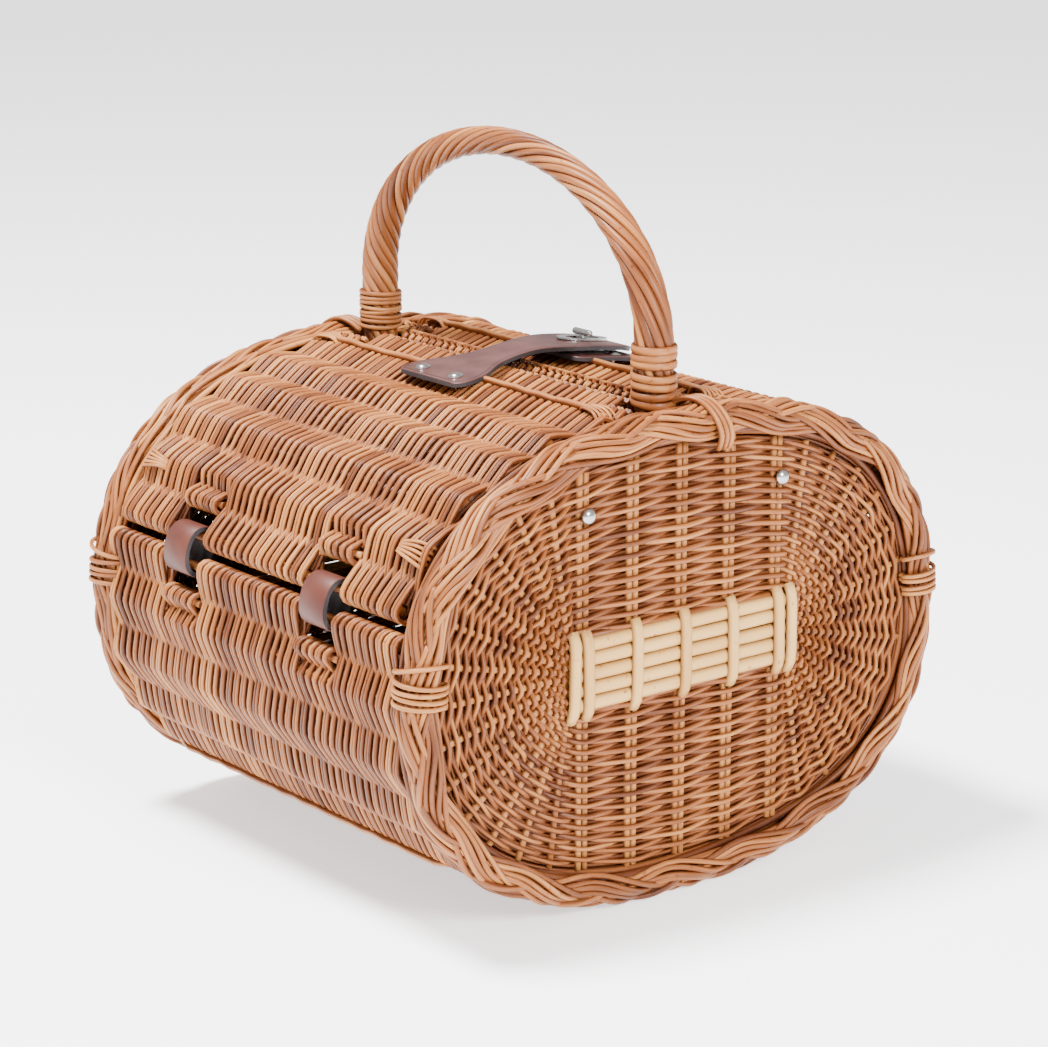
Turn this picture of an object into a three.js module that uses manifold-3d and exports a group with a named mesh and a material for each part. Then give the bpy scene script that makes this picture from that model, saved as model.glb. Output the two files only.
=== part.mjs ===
// Wicker picnic basket: an oval barrel on its side, with two woven ends, a woven trough, two hinged lids
// that meet at the top under a fixed bow handle, and a leather strap with a turn-lock.
// Millimetres. X runs along the barrel, the front lid faces -Y, Z is up, and the origin is on the floor
// under the middle of the barrel.

import * as THREE from "three";
import { mergeVertices } from "three/addons/utils/BufferGeometryUtils.js";
import Module from "manifold-3d";

const wasm = await Module();
wasm.setup();

// Overall sizes
const bodyLength = 330;
const bodyWidth = 384;
const bodyHeight = 280;
const handleTop = 413;
const ovalPower = 2.36;

// Clearances
const gap = 0.3;
const lidGap = 1.3;
const seamGap = 3;

// Ends: a round plaited border, a flat woven panel in its middle and the slath that the panel starts from
const borderThick = 26;
const borderFlat = 1.5;
const panelThick = 8;
const slathLength = 158;
const slathHeight = 42;
const slathThick = 10;

// Trough and lids
const shellInset = 3;
const shellThick = 12;
const rodRadius = 4;
const eyeRadius = 7.6;
const hingeHeight = 189;

// Leather hinge loops
const loopPlace = 68;
const loopWidth = 24;
const loopThick = 2.5;
const loopSlack = 2;
const windowGap = 2.5;
const loopSideGap = 2;

// Handle
const handleRadius = 10.5;
const legGap = 0.5;
const handleFoot = 205;
const bindingThick = 3.2;
const bindingHeight = 30;
const bindingLift = 1.2;

// Ties
const tieThick = 2.2;
const tieLift = 1;
const borderTieWidth = 26;
const borderTieHeight = 152;
const tieFromBack = -0.5;
const tieFromTop = -0.25;
const tieToFront = 2.6;
const handleTieWidth = 11;
const handleTieOffset = 14;
const lidTieSize = new THREE.Vector3(16, 9, 2.4);
const lidTieInset = 14;
const lidTieLow = 33;
const lidTieHigh = 30;

// Studs on the ends
const studSpread = 140;
const studHeight = 229;
const studRadius = 4.6;
const studShank = 1.5;
const washerRadius = 5;
const washerThick = 1;

// Strap, pad and turn-lock; heights are above the lid's outer face
const leatherThick = 2.8;
const strapFront = -60;
const strapBack = 84;
const strapFlex = -38;
const strapFrontWidth = 60;
const strapNeckWidth = 22;
const strapBackWidth = 46;
const strapLow = 1.6;
const strapRiseEnd = -17;
const rivetRadius = 4.2;
const rivetHead = 1.6;
const rivetShank = 1.4;
const strapRivetSpread = 31;
const strapRivetPlace = -51;
const padLift = 1.7;
const padThick = 2.5;
const padFront = 29;
const padBack = 83;
const padWidth = 56;
const padRivetSpread = 40;
const padRivetPlace = 60;
const lockPlace = 52;
const lockPlateThick = 1.4;
const plateSag = 0.9;
const bossRadius = 3.6;
const slotLength = 23;
const slotGap = 0.7;
const eyeletLength = 36;
const eyeletWidth = 18;
const eyeletThick = 1;
const barLength = 17;
const barRadius = 2.1;
const stemDepth = 3.8;

const holeGap = 0.35;

// Worked out from the sizes above
const halfHeight = (bodyHeight + borderFlat) / 2;
const centreHeight = halfHeight - borderFlat;
const borderPlane = (bodyLength - borderThick) / 2;
const borderInside = borderPlane - borderThick / 2;
const lidEnd = borderInside - lidGap;
const shellEnd = borderInside - gap;
const panelInner = borderPlane - panelThick / 2;
const panelOuter = borderPlane + panelThick / 2;
const handleSpan = 2 * (borderInside - handleRadius - legGap);
const legPlace = handleSpan / 2;
const bindingRadius = handleRadius + gap + bindingThick;
const bindingReach = Math.max(0, borderPlane - legPlace - bindingRadius);
const borderRise = Math.sqrt(Math.max(0, (borderThick / 2) ** 2 - bindingReach ** 2));
const bindingFoot = bodyHeight - borderThick / 2 + borderRise + bindingLift;
const plateLift = padLift + padThick + gap;
const strapHigh = plateLift + lockPlateThick + gap + plateSag;
const bossTop = strapHigh + leatherThick + gap + eyeletThick + 0.4;
const stemRadius = barRadius - 0.4;
const handleSpring = bindingFoot + bindingHeight + 2;
const topRodPlace = seamGap / 2 + eyeRadius;
const cornerDepth = Math.max(seamGap / 2 + 2 * eyeRadius, bindingRadius) + 1;
const cornerStart = legPlace - bindingRadius - 1.5;

const willow = paint(0xb98a58, 0.62, 0);
const paleWillow = paint(0xd9b884, 0.6, 0);
const brownLeather = paint(0x5b3a34, 0.5, 0);
const redLeather = paint(0x7a3f2b, 0.5, 0);
const nickel = paint(0xc9c9c6, 0.28, 1);

function paint(color, roughness, metalness) {
  return { color, roughness, metalness };
}

// ---- small tools --------------------------------------------------------------------------------------

function mesh(name, geometry, finish) {
  const piece = new THREE.Mesh(geometry, new THREE.MeshStandardMaterial(finish));
  piece.name = name;
  return piece;
}

function toSolid(geometry) {
  const bare = geometry.clone();
  bare.deleteAttribute("normal");
  bare.deleteAttribute("uv");
  const joined = mergeVertices(bare, 1e-4);
  return new wasm.Manifold(new wasm.Mesh({
    numProp: 3,
    vertProperties: Float32Array.from(joined.attributes.position.array),
    triVerts: Uint32Array.from(joined.index.array),
  }));
}

function toGeometry(solid) {
  const cut = solid.getMesh();
  const geometry = new THREE.BufferGeometry();
  geometry.setAttribute("position", new THREE.BufferAttribute(new Float32Array(cut.vertProperties), 3));
  geometry.setIndex(new THREE.BufferAttribute(new Uint32Array(cut.triVerts), 1));
  geometry.computeVertexNormals();
  return geometry;
}

function join(geometries) {
  return geometries.map(toSolid).reduce((whole, part) => whole.add(part));
}

function cut(solid, geometries) {
  return geometries.map(toSolid).reduce((whole, tool) => whole.subtract(tool), solid);
}

// A section drawn in Y and Z, run along X about a middle place
function alongX(section, length, place = 0) {
  const along = { depth: length, bevelEnabled: false, curveSegments: 8 };
  const geometry = new THREE.ExtrudeGeometry(section, along).translate(0, 0, place - length / 2);
  const turn = new THREE.Matrix4().makeBasis(
    new THREE.Vector3(0, 1, 0),
    new THREE.Vector3(0, 0, 1),
    new THREE.Vector3(1, 0, 0),
  );
  return geometry.applyMatrix4(turn);
}

function rodX(radius, length, place, sides = 16) {
  const geometry = new THREE.CylinderGeometry(radius, radius, length, sides);
  return geometry.rotateZ(Math.PI / 2).translate(0, place.x, place.y);
}

function box(x0, x1, y0, y1, z0, z1) {
  const geometry = new THREE.BoxGeometry(x1 - x0, y1 - y0, z1 - z0);
  return geometry.translate((x0 + x1) / 2, (y0 + y1) / 2, (z0 + z1) / 2);
}

// A closed ring of square section round the Z axis
function sleeve(inner, outer, low, high, sides = 20) {
  return turned([[inner, low], [outer, low], [outer, high], [inner, high], [inner, low]], sides);
}

// A turned piece round the Z axis, from points of radius and height that start and end on the axis
function turned(profile, sides = 20) {
  const points = profile.map(([r, z]) => new THREE.Vector2(r, z));
  return new THREE.LatheGeometry(points, sides).rotateX(Math.PI / 2);
}

function roundedRectangle(width, height, corner) {
  const shape = new THREE.Shape();
  const x = width / 2;
  const y = height / 2;
  shape.moveTo(x - corner, -y);
  shape.absarc(x - corner, -y + corner, corner, -Math.PI / 2, 0);
  shape.absarc(x - corner, y - corner, corner, 0, Math.PI / 2);
  shape.absarc(-x + corner, y - corner, corner, Math.PI / 2, Math.PI);
  shape.absarc(-x + corner, -y + corner, corner, Math.PI, Math.PI * 1.5);
  return shape;
}

// ---- the oval -----------------------------------------------------------------------------------------

// A point of the end oval, drawn in by inset; turn 0 is the -Y side and a quarter turn is the top
function ovalPoint(inset, turn) {
  const power = 2 / ovalPower;
  const c = Math.cos(turn);
  const s = Math.sin(turn);
  const y = -(bodyWidth / 2 - inset) * Math.sign(c) * Math.abs(c) ** power;
  const z = (halfHeight - inset) * Math.sign(s) * Math.abs(s) ** power;
  return new THREE.Vector2(y, centreHeight + z);
}

function ovalNormal(inset, turn) {
  const step = 0.01;
  const along = ovalPoint(inset, turn + step).sub(ovalPoint(inset, turn - step)).normalize();
  return new THREE.Vector2(-along.y, along.x);
}

function turnAtHeight(inset, height) {
  return Math.asin(((height - centreHeight) / (halfHeight - inset)) ** (ovalPower / 2));
}

function turnAtWidth(inset, distance) {
  return Math.acos((distance / (bodyWidth / 2 - inset)) ** (ovalPower / 2));
}

// Even steps of turn between two turns
function ovalRun(inset, from, to, steps) {
  return Array.from({ length: steps + 1 }, (_, i) => ovalPoint(inset, from + ((to - from) * i) / steps));
}

const shellMiddle = shellInset + shellThick / 2;
const hingeTurn = turnAtHeight(shellMiddle, hingeHeight);
const hingePoint = ovalPoint(shellMiddle, hingeTurn);
const rimTurn = turnAtHeight(shellMiddle, hingeHeight - 2 * eyeRadius - lidGap);
const rimPoint = ovalPoint(shellMiddle, rimTurn);
const topRodTurn = turnAtWidth(shellMiddle, topRodPlace);
const topRodPoint = ovalPoint(shellMiddle, topRodTurn);

// The lid's outer face over a place y near the top: a frame with Z square to the face
function lidFrame(x, y, lift = 0) {
  const turn = y < 0 ? turnAtWidth(shellInset, -y) : Math.PI - turnAtWidth(shellInset, y);
  const point = ovalPoint(shellInset, turn);
  const normal = ovalNormal(shellInset, turn);
  const frame = new THREE.Matrix4().makeBasis(
    new THREE.Vector3(1, 0, 0),
    new THREE.Vector3(0, normal.y, -normal.x),
    new THREE.Vector3(0, normal.x, normal.y),
  );
  return frame.setPosition(x, point.x + normal.x * lift, point.y + normal.y * lift);
}

function drillAt(x, y, radius) {
  const tool = new THREE.CylinderGeometry(radius, radius, 60, 12).rotateX(Math.PI / 2);
  return tool.applyMatrix4(lidFrame(x, y));
}

// ---- ends ---------------------------------------------------------------------------------------------

// A torus whose ring is moved out to the end oval
function borderGeometry(side) {
  const ring = 1000;
  const torus = new THREE.TorusGeometry(ring, borderThick / 2, 12, 48);
  const place = torus.attributes.position;
  for (let i = 0; i < place.count; i += 1) {
    const x = place.getX(i);
    const y = place.getY(i);
    const turn = Math.atan2(y, -x);
    const out = Math.hypot(x, y) - ring;
    const middle = ovalPoint(borderThick / 2, turn);
    const normal = ovalNormal(borderThick / 2, turn);
    const height = middle.y + normal.y * out;
    place.setXYZ(i, side * (borderPlane + place.getZ(i)), middle.x + normal.x * out, height);
  }
  if (side < 0) {
    flip(torus);
  }
  const floor = box(-bodyLength, bodyLength, -bodyWidth, bodyWidth, -bodyHeight, 0);
  return toGeometry(cut(toSolid(torus), [floor]));
}

function flip(geometry) {
  const order = geometry.index.array;
  for (let i = 0; i < order.length; i += 3) {
    [order[i], order[i + 1]] = [order[i + 1], order[i]];
  }
}

function panelGeometry(side) {
  const outline = new THREE.Shape(ovalRun(borderThick + gap, 0, 2 * Math.PI, 72).slice(0, -1));
  const plate = toSolid(alongX(outline, panelThick, side * borderPlane));
  const window = box(
    side * borderPlane - panelThick, side * borderPlane + panelThick,
    -slathLength / 2 - gap, slathLength / 2 + gap,
    centreHeight - slathHeight / 2 - gap, centreHeight + slathHeight / 2 + gap,
  );
  const holes = [-1, 1].map((way) => rodX(
    studShank + holeGap, 3 * panelThick, new THREE.Vector2(way * studSpread / 2, studHeight), 12,
  ).translate(side * borderPlane, 0, 0));
  return toGeometry(cut(plate, [window, ...holes]));
}

function slathGeometry(side) {
  const block = new THREE.ExtrudeGeometry(roundedRectangle(slathLength, slathHeight, 3), {
    depth: slathThick, bevelEnabled: false, curveSegments: 4,
  });
  block.translate(0, 0, -slathThick / 2);
  block.rotateX(Math.PI / 2).rotateZ(Math.PI / 2);
  return block.translate(side * borderPlane, 0, centreHeight);
}

// A domed stud through the panel, drawn along its own axis and turned to point out of the end
function studGeometry(side, y) {
  const dome = [[0, studRadius * 0.62], [studRadius * 0.55, studRadius * 0.5], [studRadius, 0]];
  const end = -panelThick - gap - washerThick - 0.8;
  const shank = [[studShank, 0], [studShank, end], [0, end]];
  const geometry = turned([...shank.reverse(), ...dome.reverse()]);
  geometry.rotateY((side * Math.PI) / 2);
  return geometry.translate(side * (panelOuter + gap), y, studHeight);
}

function washerGeometry(side, y) {
  const ring = sleeve(studShank + holeGap, washerRadius, 0, washerThick, 16).rotateY((-side * Math.PI) / 2);
  return ring.translate(side * (panelInner - gap), y, studHeight);
}

// A band of willow laid round the outside of the border, from its inner face side to its outer face side
function borderBand(side, turn, width, from, to) {
  const inner = borderThick / 2 + tieLift;
  const section = new THREE.Shape();
  section.absarc(0, 0, inner, from, to, false);
  section.absarc(0, 0, inner + tieThick, to, from, true);
  const band = new THREE.ExtrudeGeometry(section, { depth: width, bevelEnabled: false, curveSegments: 10 });
  band.translate(0, 0, -width / 2);
  const middle = ovalPoint(borderThick / 2, turn);
  const normal = ovalNormal(borderThick / 2, turn);
  const out = new THREE.Vector3(0, normal.x, normal.y);
  const axial = new THREE.Vector3(side, 0, 0);
  const frame = new THREE.Matrix4().makeBasis(out, axial, out.clone().cross(axial));
  frame.setPosition(side * borderPlane, middle.x, middle.y);
  return band.applyMatrix4(frame);
}

function addEnd(basket, word, side) {
  basket.add(mesh(`${word}_border`, borderGeometry(side), willow));
  basket.add(mesh(`${word}_end_panel`, panelGeometry(side), willow));
  basket.add(mesh(`${word}_slath`, slathGeometry(side), paleWillow));
  for (const [place, way] of [["front", -1], ["back", 1]]) {
    const y = (way * studSpread) / 2;
    basket.add(mesh(`${word}_${place}_stud`, studGeometry(side, y), nickel));
    basket.add(mesh(`${word}_${place}_washer`, washerGeometry(side, y), nickel));
    const rise = turnAtHeight(borderThick / 2, borderTieHeight);
    const turn = way < 0 ? rise : Math.PI - rise;
    const tie = borderBand(side, turn, borderTieWidth, tieFromBack, tieToFront);
    basket.add(mesh(`${word}_${place}_border_tie`, tie, willow));
  }
  const overTop = Math.PI - turnAtWidth(borderThick / 2, handleTieOffset);
  const tie = borderBand(side, overTop, handleTieWidth, tieFromTop, tieToFront);
  basket.add(mesh(`${word}_handle_tie`, tie, willow));
}

// ---- trough and lids ----------------------------------------------------------------------------------

// A curved wall between two turns of the oval, with the hollow rolls that hold the edge rods
function shellSolid(from, to, steps, length, rods) {
  const outer = ovalRun(shellInset, from, to, steps);
  const inner = ovalRun(shellInset + shellThick, to, from, steps);
  const wall = alongX(new THREE.Shape([...outer, ...inner]), length);
  const rolls = rods.map((place) => rodX(eyeRadius, length, place));
  const bores = rods.map((place) => rodX(rodRadius + gap, length + 2, place));
  return cut(join([wall, ...rolls]), bores);
}

// The windows in a roll where a leather loop passes round its rod
function loopWindows(place) {
  const reach = eyeRadius + loopSlack + loopThick + windowGap;
  const half = loopWidth / 2 + loopSideGap;
  return [-loopPlace, loopPlace].map((x) => box(
    x - half, x + half, place.x - reach, place.x + reach, place.y - reach, place.y + reach,
  ));
}

function mirrored(point) {
  return new THREE.Vector2(-point.x, point.y);
}

function bodyShellGeometry() {
  const rims = [rimPoint, mirrored(rimPoint)];
  const shell = shellSolid(rimTurn, -Math.PI - rimTurn, 44, 2 * shellEnd, rims);
  return toGeometry(cut(shell, rims.flatMap(loopWindows)));
}

// way is -1 for the front lid and 1 for the back lid
function lidPanelGeometry(way, holes) {
  const side = (point) => (way < 0 ? point : mirrored(point));
  const turns = way < 0 ? [hingeTurn, topRodTurn] : [Math.PI - topRodTurn, Math.PI - hingeTurn];
  const rods = [side(hingePoint), side(topRodPoint)];
  const lid = shellSolid(turns[0], turns[1], 20, 2 * lidEnd, rods);
  const corners = [-1, 1].map((end) => {
    const x = [end * cornerStart, end * (lidEnd + 1)].sort((a, b) => a - b);
    const y = [0, way * cornerDepth].sort((a, b) => a - b);
    return box(x[0], x[1], y[0], y[1], centreHeight, bodyHeight + 20);
  });
  return toGeometry(cut(lid, [...loopWindows(rods[0]), ...corners, ...holes]));
}

function lidTieGeometry(way, end, low) {
  const size = lidTieSize;
  const x = end * (lidEnd - lidTieInset);
  const block = new THREE.ExtrudeGeometry(roundedRectangle(size.x, size.y, 2), {
    depth: size.z, bevelEnabled: false, curveSegments: 3,
  });
  const lowTurn = turnAtHeight(shellInset, hingeHeight + lidTieLow);
  const y = low ? ovalPoint(shellInset, lowTurn).x : -lidTieHigh;
  return block.applyMatrix4(lidFrame(x, -way * y, gap + 0.1));
}

function addLid(lid, word, way, holes) {
  const side = (point) => (way < 0 ? point : mirrored(point));
  lid.add(mesh(`${word}_lid_panel`, lidPanelGeometry(way, holes), willow));
  lid.add(mesh(`${word}_lid_hinge_rod`, rodX(rodRadius, 2 * lidEnd - 2, side(hingePoint)), willow));
  lid.add(mesh(`${word}_lid_top_rod`, rodX(rodRadius, 2 * cornerStart, side(topRodPoint)), willow));
  for (const [place, end] of [["right", 1], ["left", -1]]) {
    lid.add(mesh(`${word}_lid_${place}_low_tie`, lidTieGeometry(way, end, true), willow));
    lid.add(mesh(`${word}_lid_${place}_top_tie`, lidTieGeometry(way, end, false), willow));
  }
}

// A leather band round the lid's hinge rod and the trough's rim rod
function loopGeometry(way, x) {
  const lean = Math.atan2(hingePoint.y - rimPoint.y, hingePoint.x - rimPoint.x);
  const slab = (radius, length) => {
    const path = new THREE.Path();
    path.absarc(hingePoint.x, hingePoint.y, radius, lean - Math.PI / 2, lean + Math.PI / 2);
    path.absarc(rimPoint.x, rimPoint.y, radius, lean + Math.PI / 2, lean + Math.PI * 1.5);
    const outline = path.getPoints(8).map((point) => (way < 0 ? point : mirrored(point)));
    return alongX(new THREE.Shape(outline), length, x);
  };
  const inner = rodRadius + loopSlack;
  return toGeometry(cut(toSolid(slab(inner + loopThick, loopWidth)), [slab(inner, loopWidth + 2)]));
}

function addRims(basket) {
  for (const [word, way] of [["front", -1], ["back", 1]]) {
    const place = way < 0 ? rimPoint : mirrored(rimPoint);
    basket.add(mesh(`${word}_rim_rod`, rodX(rodRadius, 2 * shellEnd - 2, place), willow));
    basket.add(mesh(`${word}_right_hinge_loop`, loopGeometry(way, loopPlace), redLeather));
    basket.add(mesh(`${word}_left_hinge_loop`, loopGeometry(way, -loopPlace), redLeather));
  }
}

// ---- handle -------------------------------------------------------------------------------------------

function handleGeometry() {
  const rise = handleTop - handleRadius - handleSpring;
  const steps = 14;
  const middle = (handleFoot + handleSpring) / 2;
  const straight = [handleFoot, middle, handleSpring - bindingHeight, handleSpring - 3];
  const bow = Array.from({ length: steps + 1 }, (_, i) => (Math.PI * i) / steps);
  const points = [
    ...straight.map((z) => new THREE.Vector3(-legPlace, 0, z)),
    ...bow.map((t) => new THREE.Vector3(-legPlace * Math.cos(t), 0, handleSpring + rise * Math.sin(t))),
    ...straight.reverse().map((z) => new THREE.Vector3(legPlace, 0, z)),
  ];
  const path = new THREE.CatmullRomCurve3(points, false, "centripetal");
  const section = new THREE.Shape();
  section.absarc(0, 0, handleRadius, 0, 2 * Math.PI);
  return new THREE.ExtrudeGeometry(section, { steps: 50, curveSegments: 6, extrudePath: path });
}

function addHandle(basket) {
  basket.add(mesh("handle", handleGeometry(), willow));
  for (const [word, side] of [["right", 1], ["left", -1]]) {
    const ring = sleeve(handleRadius + gap, bindingRadius, bindingFoot, bindingFoot + bindingHeight);
    basket.add(mesh(`${word}_handle_binding`, ring.translate(side * legPlace, 0, 0), willow));
  }
}

// ---- strap and turn-lock ------------------------------------------------------------------------------

// Height of the strap's underside over the lid: flat on the front lid, then up and over the seam
function strapLift(y) {
  const t = THREE.MathUtils.smoothstep(y, strapFlex, strapRiseEnd);
  return strapLow + (strapHigh - strapLow) * t;
}

// A strip of sheet that follows the lids between two places, as a slab as wide as its widest place
function sheetSlab(from, to, lift, thick, width) {
  const steps = 22;
  const low = [];
  const high = [];
  for (let i = 0; i <= steps; i += 1) {
    const y = from + ((to - from) * i) / steps;
    const frame = lidFrame(0, y);
    for (const [line, height] of [[low, lift(y)], [high, lift(y) + thick]]) {
      const point = new THREE.Vector3(0, 0, height).applyMatrix4(frame);
      line.push(new THREE.Vector2(point.y, point.z));
    }
  }
  return toSolid(alongX(new THREE.Shape([...low, ...high.reverse()]), width));
}

// A prism through the sheet with a plan outline given in X and Y
function planPrism(shape) {
  const tall = 200;
  return new THREE.ExtrudeGeometry(shape, { depth: tall, bevelEnabled: false, curveSegments: 6 })
    .translate(0, 0, bodyHeight - tall / 2);
}

function strapOutline() {
  const front = strapFrontWidth / 2;
  const neck = strapNeckWidth / 2;
  const back = strapBackWidth / 2;
  const corner = 9;
  const neckFrom = strapFlex + 16;
  const neckTo = neckFrom + 30;
  const flare = neckTo + 22;
  const shape = new THREE.Shape();
  shape.moveTo(-front + corner, strapFront);
  shape.lineTo(front - corner, strapFront);
  shape.quadraticCurveTo(front, strapFront, front, strapFront + corner);
  shape.bezierCurveTo(front, strapFlex + 6, neck, strapFlex + 4, neck, neckFrom);
  shape.lineTo(neck, neckTo);
  shape.bezierCurveTo(neck, neckTo + 10, back, flare - 10, back, flare);
  shape.lineTo(back, strapBack - 2 * corner);
  shape.quadraticCurveTo(back, strapBack - corner / 2, 0, strapBack);
  shape.quadraticCurveTo(-back, strapBack - corner / 2, -back, strapBack - 2 * corner);
  shape.lineTo(-back, flare);
  shape.bezierCurveTo(-back, flare - 10, -neck, neckTo + 10, -neck, neckTo);
  shape.lineTo(-neck, neckFrom);
  shape.bezierCurveTo(-neck, strapFlex + 4, -front, strapFlex + 6, -front, strapFront + corner);
  shape.quadraticCurveTo(-front, strapFront, -front + corner, strapFront);
  return shape;
}

function slotShape(length, width) {
  return roundedRectangle(width, length, width / 2 - 0.01);
}

function slotCutter(extra) {
  const width = 2 * (bossRadius + slotGap + extra);
  const tool = new THREE.ExtrudeGeometry(slotShape(slotLength + 2 * extra, width), {
    depth: 40, bevelEnabled: false, curveSegments: 6,
  });
  return tool.translate(0, 0, -20).applyMatrix4(lidFrame(0, lockPlace));
}

function strapPiece(from, to, holes) {
  const slab = sheetSlab(strapFront - 2, strapBack + 2, strapLift, leatherThick, strapFrontWidth + 4);
  const band = slab.intersect(toSolid(planPrism(strapOutline())));
  const reach = strapFrontWidth;
  const stretch = toSolid(box(-reach, reach, from, to, 0, 2 * bodyHeight));
  return toGeometry(cut(band.intersect(stretch), holes));
}

function padGeometry(holes) {
  const outline = roundedRectangle(padWidth, padBack - padFront, 8);
  const prism = planPrism(outline).translate(0, (padFront + padBack) / 2, 0);
  const slab = sheetSlab(padFront - 2, padBack + 2, () => padLift, padThick, padWidth + 4);
  return toGeometry(cut(slab.intersect(toSolid(prism)), holes));
}

// A domed rivet through the leather and the lid
function rivetGeometry(x, y, seat) {
  const deep = -seat - shellThick - 1.5;
  const shank = [[0, deep], [rivetShank, deep], [rivetShank, 0]];
  const head = [[rivetRadius, 0], [rivetRadius * 0.7, rivetHead * 0.75], [0, rivetHead]];
  return turned([...shank, ...head], 16).applyMatrix4(lidFrame(x, y, seat + gap));
}

function lockBaseGeometry() {
  const plate = new THREE.ExtrudeGeometry(roundedRectangle(18, slotLength + 8, 8.9), {
    depth: lockPlateThick, bevelEnabled: false, curveSegments: 6,
  }).translate(0, 0, plateLift);
  const boss = turned([[0, plateLift], [bossRadius, plateLift], [bossRadius, bossTop], [0, bossTop]]);
  const low = bossTop - stemDepth - 0.7;
  const high = bossTop + 0.5;
  const wide = stemRadius + gap;
  const bore = turned([[0, low], [wide, low], [wide, high], [0, high]], 16);
  return toGeometry(cut(join([plate, boss]), [bore])).applyMatrix4(lidFrame(0, lockPlace));
}

function buttonGeometry() {
  const height = bossTop + gap + barRadius;
  const bar = new THREE.CapsuleGeometry(barRadius, barLength - 2 * barRadius, 4, 12).rotateZ(Math.PI / 2);
  bar.translate(0, 0, height);
  const low = bossTop - stemDepth;
  const stem = turned([[0, low], [stemRadius, low], [stemRadius, height], [0, height]], 14);
  return toGeometry(join([bar, stem])).applyMatrix4(lidFrame(0, lockPlace));
}

function eyeletGeometry() {
  const outline = new THREE.Shape();
  outline.absellipse(0, 0, eyeletWidth / 2, eyeletLength / 2, 0, 2 * Math.PI);
  const plate = new THREE.ExtrudeGeometry(outline, {
    depth: eyeletThick, bevelEnabled: false, curveSegments: 16,
  });
  plate.translate(0, 0, strapHigh + leatherThick + gap).applyMatrix4(lidFrame(0, lockPlace));
  return toGeometry(cut(toSolid(plate), [slotCutter(0)]));
}

// ---- assembly -----------------------------------------------------------------------------------------

const basket = new THREE.Group();
basket.add(mesh("body_shell", bodyShellGeometry(), willow));
addEnd(basket, "right", 1);
addEnd(basket, "left", -1);
addRims(basket);
addHandle(basket);

const strapRivets = [-strapRivetSpread / 2, strapRivetSpread / 2];
const padRivets = [-padRivetSpread / 2, padRivetSpread / 2];
const strapHoles = strapRivets.map((x) => drillAt(x, strapRivetPlace, rivetShank + holeGap));
const padHoles = padRivets.map((x) => drillAt(x, padRivetPlace, rivetShank + holeGap));

const frontLid = new THREE.Group();
const strapTop = strapLow + leatherThick;
addLid(frontLid, "front", -1, strapHoles);
frontLid.add(mesh("strap_tab", strapPiece(strapFront - 1, strapFlex - gap / 2, strapHoles), brownLeather));
frontLid.add(mesh("strap_right_rivet", rivetGeometry(strapRivets[1], strapRivetPlace, strapTop), nickel));
frontLid.add(mesh("strap_left_rivet", rivetGeometry(strapRivets[0], strapRivetPlace, strapTop), nickel));

const strap = new THREE.Group();
const flap = strapPiece(strapFlex + gap / 2, strapBack + 1, [slotCutter(0.4)]);
strap.add(mesh("strap_flap", flap, brownLeather));
strap.add(mesh("eyelet_plate", eyeletGeometry(), nickel));
frontLid.add(strap);
basket.add(frontLid);

const backLid = new THREE.Group();
const padTop = padLift + padThick;
addLid(backLid, "back", 1, padHoles);
backLid.add(mesh("lock_pad", padGeometry(padHoles), brownLeather));
backLid.add(mesh("pad_right_rivet", rivetGeometry(padRivets[1], padRivetPlace, padTop), nickel));
backLid.add(mesh("pad_left_rivet", rivetGeometry(padRivets[0], padRivetPlace, padTop), nickel));
backLid.add(mesh("turn_lock_base", lockBaseGeometry(), nickel));
backLid.add(mesh("turn_button", buttonGeometry(), nickel));
basket.add(backLid);

export default basket;
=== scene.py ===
"""Looks of the oval willow picnic basket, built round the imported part, in metres."""

import math
import random

import bpy
import numpy as np
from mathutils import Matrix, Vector


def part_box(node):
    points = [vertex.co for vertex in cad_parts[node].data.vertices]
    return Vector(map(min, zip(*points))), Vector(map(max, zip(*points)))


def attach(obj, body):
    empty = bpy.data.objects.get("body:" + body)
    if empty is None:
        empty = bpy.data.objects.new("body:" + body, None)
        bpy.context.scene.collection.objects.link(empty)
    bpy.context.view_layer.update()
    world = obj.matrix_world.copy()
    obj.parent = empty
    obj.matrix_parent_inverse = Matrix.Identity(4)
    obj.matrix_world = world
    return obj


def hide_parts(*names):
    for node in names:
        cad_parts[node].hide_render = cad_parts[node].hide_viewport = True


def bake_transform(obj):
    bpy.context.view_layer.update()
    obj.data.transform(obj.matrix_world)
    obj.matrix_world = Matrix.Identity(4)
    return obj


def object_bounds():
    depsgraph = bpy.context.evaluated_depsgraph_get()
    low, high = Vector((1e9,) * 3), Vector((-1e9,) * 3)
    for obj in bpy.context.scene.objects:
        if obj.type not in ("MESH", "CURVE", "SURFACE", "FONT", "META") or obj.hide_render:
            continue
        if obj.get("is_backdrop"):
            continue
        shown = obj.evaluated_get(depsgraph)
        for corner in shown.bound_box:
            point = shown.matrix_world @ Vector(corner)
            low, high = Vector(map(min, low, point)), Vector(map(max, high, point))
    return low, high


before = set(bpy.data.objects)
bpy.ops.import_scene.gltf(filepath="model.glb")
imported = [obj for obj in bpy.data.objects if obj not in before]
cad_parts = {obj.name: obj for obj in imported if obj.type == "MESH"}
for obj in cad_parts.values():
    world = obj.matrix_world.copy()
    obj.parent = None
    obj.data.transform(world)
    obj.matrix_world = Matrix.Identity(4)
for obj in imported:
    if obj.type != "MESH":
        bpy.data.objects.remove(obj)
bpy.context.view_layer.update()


# ---- camera ---------------------------------------------------------------------------------------
# A long lens from above and to the front right, level with the horizon, looking at the middle of
# the basket from about two metres.

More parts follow.
